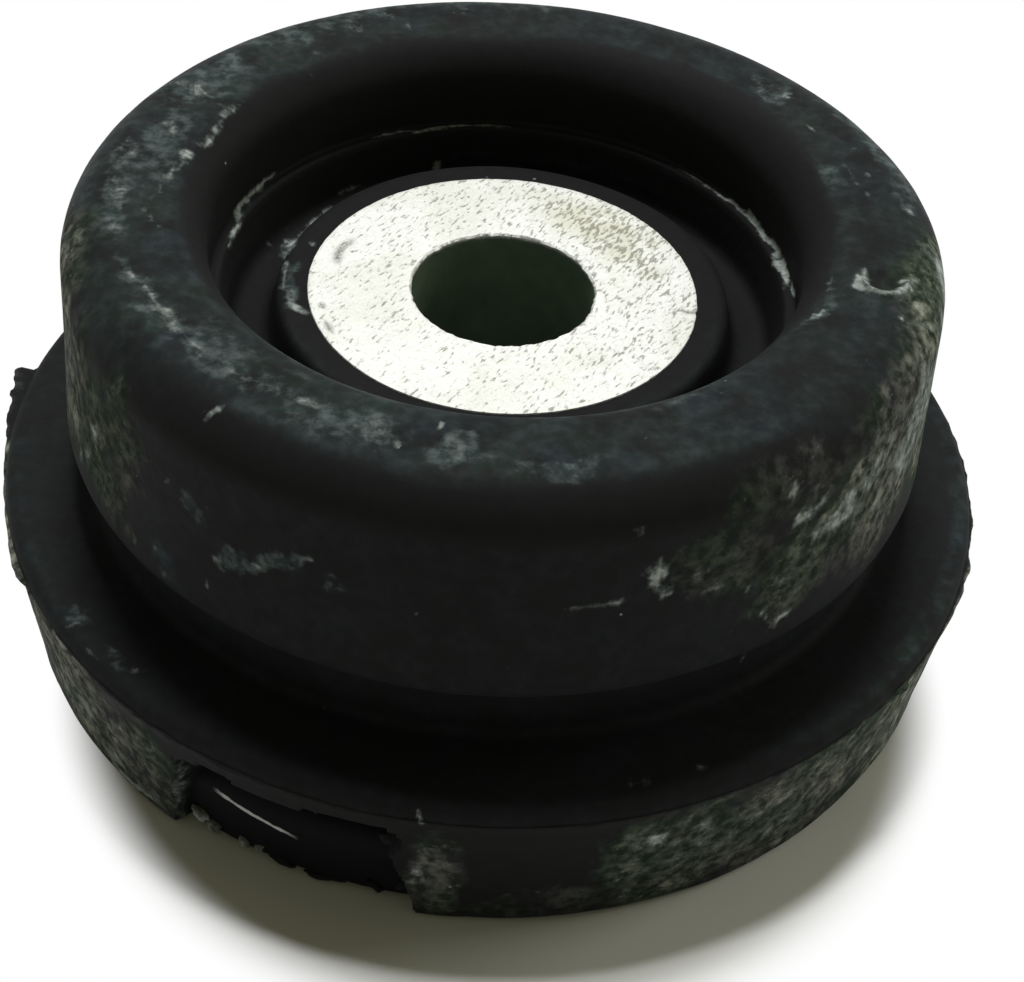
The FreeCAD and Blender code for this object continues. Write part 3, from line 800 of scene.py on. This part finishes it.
class Shading:
    """The node tree of a material or world, with short calls for the nodes that the finishes need."""

    def __init__(self, owner):
        owner.use_nodes = True
        self.owner = owner
        self.tree = owner.node_tree
        self.shader = self.tree.nodes.get("Principled BSDF")
        self.place = self.add("TexCoord").outputs["Object"]

    def add(self, kind, values=(), **settings):
        """A new shader node with its inputs and settings."""
        made = self.tree.nodes.new("ShaderNode" + kind)
        for setting, value in settings.items():
            setattr(made, setting, value)
        for socket, value in dict(values).items():
            self.put(made.inputs[socket], value)
        return made

    def put(self, socket, value):
        """Set a socket to a number, vector or colour, or link it to another node's output."""
        if isinstance(value, bpy.types.NodeSocket):
            self.tree.links.new(value, socket)
        else:
            socket.default_value = (*value, 1.0) if socket.type == "RGBA" else value

    def amounts(self, *names):
        """The mesh's finishes with the given names."""
        return [self.add("Attribute", attribute_name=name).outputs["Fac"] for name in names]

    def math(self, operation, first, second=0.0):
        return self.add("Math", {0: first, 1: second}, operation=operation).outputs[0]

    def times(self, first, second):
        return self.math("MULTIPLY", first, second)

    def plus(self, total, *terms):
        """A value plus others, each given with its weight."""
        for value, weight in terms:
            total = self.math("ADD", total, self.times(value, weight))
        return total

    def vector(self, operation, values, output="Vector"):
        return self.add("VectorMath", values, operation=operation).outputs[output]

    def parts(self):
        """The place's X, Y and Z."""
        return self.add("SeparateXYZ", {"Vector": self.place}).outputs

    def step(self, value, low, high):
        """A smooth step from 0 at low to 1 at high."""
        values = {"Value": value, "From Min": low, "From Max": high}
        return self.add("MapRange", values, interpolation_type="SMOOTHSTEP").outputs["Result"]

    def scale_to(self, value, low, high):
        """A value from 0 to 1 spread from low to high."""
        values = {"Value": value, "To Min": low, "To Max": high}
        return self.add("MapRange", values).outputs["Result"]

    def grain(self, size, detail=4.0, roughness=0.6, place=None):
        """Noise from 0 to 1 with lumps of about size millimetres."""
        values = {"Vector": place or self.place, "Scale": 1.0 / (size * MM), "Detail": detail,
                  "Roughness": roughness}
        return self.add("TexNoise", values).outputs["Fac"]

    def flow(self):
        """Coordinates that draw noise out up the sides and across the tops."""
        level = self.vector("MULTIPLY", {0: self.place, 1: (1.0, 1.0, 0.0)})
        radius = self.vector("LENGTH", {0: level}, "Value")
        climb = self.times(self.math("SUBTRACT", self.parts()["Z"], radius), FLOW_SQUEEZE)
        outward = self.vector("NORMALIZE", {0: level})
        turned = self.vector("SCALE", {0: outward, "Scale": FLOW_RADIUS * MM})
        lifted = self.add("CombineXYZ", {"Z": climb}).outputs[0]
        return self.vector("ADD", {0: turned, 1: lifted})

    def blend(self, share, first, second):
        """Colour first where share is 0 and second where it is 1."""
        made = self.add("Mix", data_type="RGBA")
        self.put(made.inputs["Factor"], share)
        self.put(made.inputs["A"], first)
        self.put(made.inputs["B"], second)
        return made.outputs["Result"]

    def bump(self, height, strength, distance, normal=None):
        """A relief over the surface or over another relief, its distance in millimetres."""
        values = {"Height": height, "Strength": strength, "Distance": distance * MM}
        if normal is not None:
            values["Normal"] = normal
        return self.add("Bump", values).outputs["Normal"]

    def finish(self, **sockets):
        """Set or link the shader's own sockets."""
        for socket, value in sockets.items():
            self.put(self.shader.inputs[socket.replace("_", " ")], value)
        return self.owner

    def show(self, output, first, second, share=1.0):
        """Show the first shader, and the second by its share to the camera, in gloss and glass."""
        rays = self.add("LightPath").outputs
        seen = self.math("MAXIMUM", rays["Is Camera Ray"], rays["Is Glossy Ray"])
        seen = self.math("MAXIMUM", seen, rays["Is Transmission Ray"])
        mix = self.add("MixShader", {"Fac": self.times(share, seen), 1: first, 2: second})
        self.tree.links.new(mix.outputs[0], self.tree.nodes[output].inputs["Surface"])


def new_material(name):
    """The shading of a new material."""
    return Shading(bpy.data.materials.new(name))


# Colours of the rubber and of what lies on it, with painted sheen in the film's and the haze's tones and
# painted highlights in the chalk's. A pair is a darker and a lighter tone.
BLACK = (0.0085, 0.0088, 0.0088), (0.014, 0.0144, 0.0141)
GREEN_FILM_SHEEN = (0.014, 0.025, 0.0185)
BLUE_FILM_SHEEN = (0.015, 0.0235, 0.0275)
LIGHT_FILM_SHEEN = (0.04, 0.052, 0.053)
HAZE_SHEEN = (0.028, 0.043, 0.042), (0.092, 0.113, 0.111)
GREEN_EARTH = (0.013, 0.0225, 0.013), (0.042, 0.056, 0.039)
BROWN_EARTH = (0.022, 0.023, 0.0225), (0.064, 0.065, 0.06)
KHAKI = (0.185, 0.192, 0.155)
PALE_EARTH = (0.43, 0.44, 0.375)
GRIT = (0.17, 0.18, 0.155)
SPECK = (0.32, 0.34, 0.31)
CHALK_HIGHLIGHT = (0.13, 0.15, 0.14), (0.42, 0.46, 0.43)
DUSTY_ROUGHNESS = (0.85, 0.85, 0.85)
# Specks: the cells that hold them, and how far their edges are shifted by a finer noise.
SPECK_CELL = 2.0
SPECK_SHIFT = 0.35
SPECK_NOISE_SCALE = 1800.0


def speck_share(s):
    """Where small odd-edged specks lie, in a few of the cells."""
    waver = s.add("TexNoise", {"Vector": s.place, "Scale": SPECK_NOISE_SCALE})
    shift = s.vector("SCALE", {0: waver.outputs["Color"], "Scale": SPECK_SHIFT * MM})
    place = s.vector("ADD", {0: s.place, 1: shift})
    cells = s.add("TexVoronoi", {"Vector": place, "Scale": 1.0 / (SPECK_CELL * MM)}).outputs
    odds = s.add("SeparateColor", {"Color": cells["Color"]}).outputs
    reach = s.scale_to(odds["Green"], 0.02, 0.085)
    dot = s.step(s.math("SUBTRACT", reach, cells["Distance"]), 0.0, 0.03)
    seen = s.times(dot, s.step(odds["Red"], 0.9, 0.94))
    return s.times(seen, s.scale_to(odds["Blue"], 0.25, 0.85))


def rubber_finish():
    """Black moulded rubber with a handled film, settled dust, chalky wear and torn places, with painted
    sheen in the film and haze and painted highlights in the chalk.
    """
    s = new_material("moulded_rubber")
    film, haze, dust, chalk, torn = s.amounts("film", "haze", "dust", "chalk", "torn")
    broad = s.grain(8.0, 3.0, 0.55)
    cloud = s.grain(2.6, 5.0, 0.6)
    mid = s.grain(1.0, 4.0, 0.58)
    fine = s.grain(0.36, 3.0, 0.55)
    streak = s.grain(0.5, 3.0, 0.6, s.flow())
    clouded = s.math("SUBTRACT", cloud, 0.5)
    speckled = s.math("SUBTRACT", s.plus(s.times(mid, 0.55), (fine, 0.25), (streak, 0.2)), 0.5)

    # bare rubber under its film with painted sheen, and hazy scuffs with painted sheen over both
    film_sheen_tone = s.blend(s.step(broad, 0.44, 0.56), GREEN_FILM_SHEEN, BLUE_FILM_SHEEN)
    film_sheen_tone = s.blend(s.step(mid, 0.34, 0.74), film_sheen_tone, LIGHT_FILM_SHEEN)
    film_sheen_share = s.times(film, s.step(cloud, 0.28, 0.64))
    skin = s.blend(film_sheen_share, s.blend(mid, *BLACK), film_sheen_tone)

    # haze with painted sheen over the skin
    haze_sheen_level = s.plus(haze, (clouded, 1.2), (speckled, 1.5))
    haze_sheen_share = s.times(s.step(haze_sheen_level, 0.25, 1.0), s.step(haze, 0.02, 0.4))
    skin = s.blend(haze_sheen_share, skin, s.blend(s.step(mid, 0.36, 0.7), *HAZE_SHEEN))

    # dust: green and brown earth, then khaki, then pale where it lies thickest
    level = s.plus(dust, (clouded, 1.3), (speckled, 0.8))
    dusted = s.step(dust, 0.02, 0.35)
    dust_share = s.times(s.step(level, 0.1, 0.85), dusted)
    tone = s.step(mid, 0.35, 0.65)
    earth = s.blend(s.step(broad, 0.4, 0.62), s.blend(tone, *GREEN_EARTH), s.blend(tone, *BROWN_EARTH))
    earth = s.blend(s.times(s.step(level, 0.65, 1.35), s.step(mid, 0.3, 0.68)), earth, KHAKI)
    earth = s.blend(s.times(s.step(level, 0.95, 1.6), s.step(mid, 0.34, 0.7)), earth, PALE_EARTH)
    skin = s.blend(dust_share, skin, earth)
    gritty = s.times(s.times(s.step(fine, 0.62, 0.74), s.step(level, 0.35, 1.0)), dusted)
    skin = s.blend(s.times(gritty, 0.7), skin, GRIT)
    skin = s.blend(speck_share(s), skin, SPECK)

    # chalky wear, and painted highlights on edges and lips
    wear_and_highlight = s.plus(chalk, (speckled, 2.4))
    chalk_highlight_share = s.times(s.step(wear_and_highlight, 0.3, 1.1), s.step(chalk, 0.03, 0.3))
    skin = s.blend(chalk_highlight_share, skin, s.blend(s.step(wear_and_highlight, 0.6, 1.4), *CHALK_HIGHLIGHT))

    shine = s.scale_to(film_sheen_share, 0.62, 0.46)
    rough = s.blend(s.math("MAXIMUM", dust_share, chalk_highlight_share), shine, DUSTY_ROUGHNESS)
    relief = s.bump(s.plus(mid, (dust_share, 0.8)), 0.35, 0.1)
    relief = s.bump(s.math("ADD", fine, s.times(torn, cloud)), 0.3, 0.05, relief)
    return s.finish(Base_Color=skin, Roughness=rough, Normal=relief, Specular_IOR_Level=0.035)


# Colours of the hub's metal and of what marks it. Its grains are dashes laid at an angle.
METAL = (0.645, 0.655, 0.615), (0.755, 0.765, 0.725)
DULL_METAL = (0.58, 0.58, 0.5)
STAINED_METAL = (0.6, 0.6, 0.5)
DARK_GRAIN = (0.2, 0.195, 0.15)
GRIME = (0.12, 0.12, 0.09)
# painted shade inside the bore, far darker than the face
PAINTED_BORE_SHADE = (0.065, 0.095, 0.06), (0.15, 0.21, 0.13)
DASH_ANGLE, DASH_STRETCH, DASH_SIZE = 62.0, 2.7, 0.27


def hub_finish():
    """Bright granular cast metal with short slanted dark grains and a yellowish stain."""
    s = new_material("cast_metal")
    grime, stain, bore = s.amounts("grime", "stain", "bore")
    slanted = s.add("Mapping", {
        "Vector": s.place, "Rotation": (0.0, 0.0, math.radians(DASH_ANGLE)),
        "Scale": (DASH_STRETCH, 1.0, 1.0),
    }, vector_type="TEXTURE").outputs["Vector"]
    dashes = s.grain(DASH_SIZE, 2.0, 0.6, slanted)
    cloud = s.grain(2.4)
    broad = s.grain(7.0, 2.0, 0.5)
    fine = s.grain(0.2, 3.0, 0.6)
    parts, face = s.parts(), HUB_RADIUS * MM
    right_back = s.plus(s.times(parts["X"], 1.2 / face), (parts["Y"], 1.0 / face))
    density = s.plus(s.times(stain, 0.07), (cloud, 0.14), (right_back, 0.022))
    dark = s.step(s.math("ADD", dashes, density), 0.62, 0.76)
    metal = s.blend(s.step(fine, 0.3, 0.7), *METAL)
    metal = s.blend(s.times(s.step(broad, 0.45, 0.65), 0.35), metal, DULL_METAL)
    metal = s.blend(s.times(stain, s.step(cloud, 0.3, 0.6)), metal, STAINED_METAL)
    metal = s.blend(s.times(dark, 0.76), metal, DARK_GRAIN)
    metal = s.blend(s.times(grime, s.step(fine, 0.25, 0.6)), metal, GRIME)
    # painted shade inside the bore
    metal = s.blend(bore, metal, s.blend(cloud, *PAINTED_BORE_SHADE))
    relief = s.bump(fine, 0.3, 0.04, s.bump(dashes, 0.5, 0.08))
    return s.finish(
        Base_Color=metal, Roughness=s.scale_to(cloud, 0.64, 0.76), Normal=relief, Metallic=0.5,
        Specular_IOR_Level=0.3,
    )


# Ring: its coat's colours, and a painted highlight along its bend, a bright line from its left end to its
# right end.
COAT = (0.006, 0.0062, 0.0063), (0.009, 0.01, 0.0104)
BEND_HIGHLIGHT = (0.55, 0.58, 0.56)
LINE_LEFT, LINE_RIGHT = -30.0, -19.0
LINE_LEFT_HEIGHT, LINE_RIGHT_HEIGHT = 5.2, 4.1
LINE_HALF_WIDTH = 0.17


def ring_finish():
    """Black coated steel with a painted highlight along one line on its bend."""
    s = new_material("coated_steel")
    parts = s.parts()
    azimuth = s.math("DEGREES", s.math("ARCTAN2", parts["X"], s.times(parts["Y"], -1.0)))
    middle = s.add("MapRange", {
        "Value": azimuth, "From Min": LINE_LEFT, "From Max": LINE_RIGHT,
        "To Min": LINE_LEFT_HEIGHT * MM, "To Max": LINE_RIGHT_HEIGHT * MM,
    }, clamp=False).outputs["Result"]
    gap = s.math("ABSOLUTE", s.math("SUBTRACT", parts["Z"], middle))
    wavy = s.times(s.grain(0.8), LINE_HALF_WIDTH * 2.2 * MM)
    line = s.step(s.math("SUBTRACT", wavy, gap), 0.0, 0.08 * MM)
    past_right = s.step(azimuth, LINE_RIGHT - 2.0, LINE_RIGHT + 0.5)
    ends = s.times(s.step(azimuth, LINE_LEFT - 0.5, LINE_LEFT + 1.5), s.math("SUBTRACT", 1.0, past_right))
    # the painted highlight line on the bend
    base = s.blend(s.times(line, ends), s.blend(s.grain(2.0, 5.0, 0.6), *COAT), BEND_HIGHLIGHT)
    relief = s.bump(s.grain(0.5), 0.25, 0.05)
    return s.finish(Base_Color=base, Roughness=0.55, Normal=relief, Specular_IOR_Level=0.03)


def link(piece):
    """Put an object in the scene."""
    bpy.context.scene.collection.objects.link(piece)


WHITE = (1.0, 1.0, 1.0)
# Floor: plain and pale, and white in the picture beyond the reach of the part's shadow.
FLOOR_REACH = 3000.0
FLOOR_COLOUR = (0.97, 0.97, 0.95)
SHADOW_MIDDLE = (2.2, -12.0, 0.0)
SHADOW_NEAR, SHADOW_FAR = 31.5, 36.8


def make_floor():
    """A plain pale floor that keeps the part's shadow."""
    reach = FLOOR_REACH * MM
    made = bpy.data.meshes.new("floor")
    made.from_pydata([(-reach, -reach, 0), (reach, -reach, 0), (reach, reach, 0), (-reach, reach, 0)],
                     [], [(0, 1, 2, 3)])
    floor = bpy.data.objects.new("floor", made)
    link(floor)
    s = new_material("pale_floor")
    made.materials.append(s.finish(Base_Color=FLOOR_COLOUR, Roughness=0.9, Specular_IOR_Level=0.05))
    middle = tuple(value * MM for value in SHADOW_MIDDLE)
    away = s.vector("DISTANCE", {0: s.place, 1: middle}, "Value")
    beyond = s.step(away, SHADOW_NEAR * MM, SHADOW_FAR * MM)
    white = s.add("Emission", {"Color": WHITE, "Strength": 1.0})
    s.show("Material Output", s.shader.outputs[0], white.outputs[0], beyond)


# Light: a warm surrounding, a large lamp high above and a little behind, and a weak low one at the right.
WORLD_LIGHT = 0.1
WORLD_TINT = (1.0, 0.97, 0.64)
LAMP_TARGET = (0.0, 0.0, 10.0)
# Each lamp's name, place, size, power and tint.
LAMPS = [
    ("key", (-46.0, 364.0, 1152.0), 290.0, 12.8, (0.985, 0.988, 1.0)),
    ("right", (766.0, 279.0, 390.0), 400.0, 1.6, (1.0, 1.0, 0.9)),
]


def light_scene():
    """Two soft lamps, and a surrounding that is plain white where the camera sees it."""
    world = bpy.data.worlds.new("studio")
    bpy.context.scene.world = world
    s = Shading(world)
    lit = s.tree.nodes["Background"]
    s.put(lit.inputs["Color"], WORLD_TINT)
    s.put(lit.inputs["Strength"], WORLD_LIGHT)
    seen = s.add("Background", {"Color": WHITE})
    s.show("World Output", lit.outputs[0], seen.outputs[0])

    for name, place, size, power, tint in LAMPS:
        light = bpy.data.lights.new(name, "AREA")
        light.shape = "DISK"
        light.size = size * MM
        light.energy = power
        light.color = tint
        piece = bpy.data.objects.new(name, light)
        piece.location = Vector(place) * MM
        aim = Vector(LAMP_TARGET) * MM - piece.location
        piece.rotation_euler = aim.to_track_quat("-Z", "Y").to_euler()
        link(piece)


# Camera: where it aims, how far it is, its height angle and roll, and its focal length in pixels.
AIM = (1.886, 0.0, 8.506)
CAMERA_DISTANCE = 175.0
CAMERA_ELEVATION = 42.068
CAMERA_ROLL = 4.374
FOCAL_PIXELS = 2083.96
IMAGE_WIDTH = 1024.0
SENSOR_WIDTH = 36.0
CLIP_NEAR, CLIP_FAR = 1.0, 10000.0


def set_camera():
    """The photograph's view: from the torn side, looking down into the bowl."""
    turned = Matrix.Rotation(math.radians(90.0 - CAMERA_ELEVATION), 4, "X")
    turned = turned @ Matrix.Rotation(math.radians(CAMERA_ROLL), 4, "Z")
    place = (Vector(AIM) + CAMERA_DISTANCE * turned.col[2].xyz) * MM
    camera = bpy.data.cameras.new("camera")
    camera.sensor_width = SENSOR_WIDTH
    camera.lens = FOCAL_PIXELS * SENSOR_WIDTH / IMAGE_WIDTH
    camera.clip_start = CLIP_NEAR * MM
    camera.clip_end = CLIP_FAR * MM
    view = bpy.data.objects.new("camera", camera)
    view.matrix_world = Matrix.Translation(place) @ turned
    link(view)
    bpy.context.scene.camera = view


def dress(piece, material, slot, *nodes):
    """Put a piece in the scene with its material, on the root body, in place of the given nodes. Its slot
    is not used.
    """
    link(piece)
    piece.data.materials.append(material)
    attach(piece, "root")
    if nodes:
        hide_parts(*nodes)


rubber = rubber_finish()
dress(make_rubber(), rubber, "rubber", "rubber_body")
dress(make_shreds(), rubber, "rubber")
dress(make_hub(), hub_finish(), "hub_metal", "hub")
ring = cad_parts["carrier_ring"]
ring.data.materials.clear()
ring.data.materials.append(ring_finish())
make_floor()
light_scene()
set_camera()
bpy.context.scene.view_settings.view_transform = "Standard"
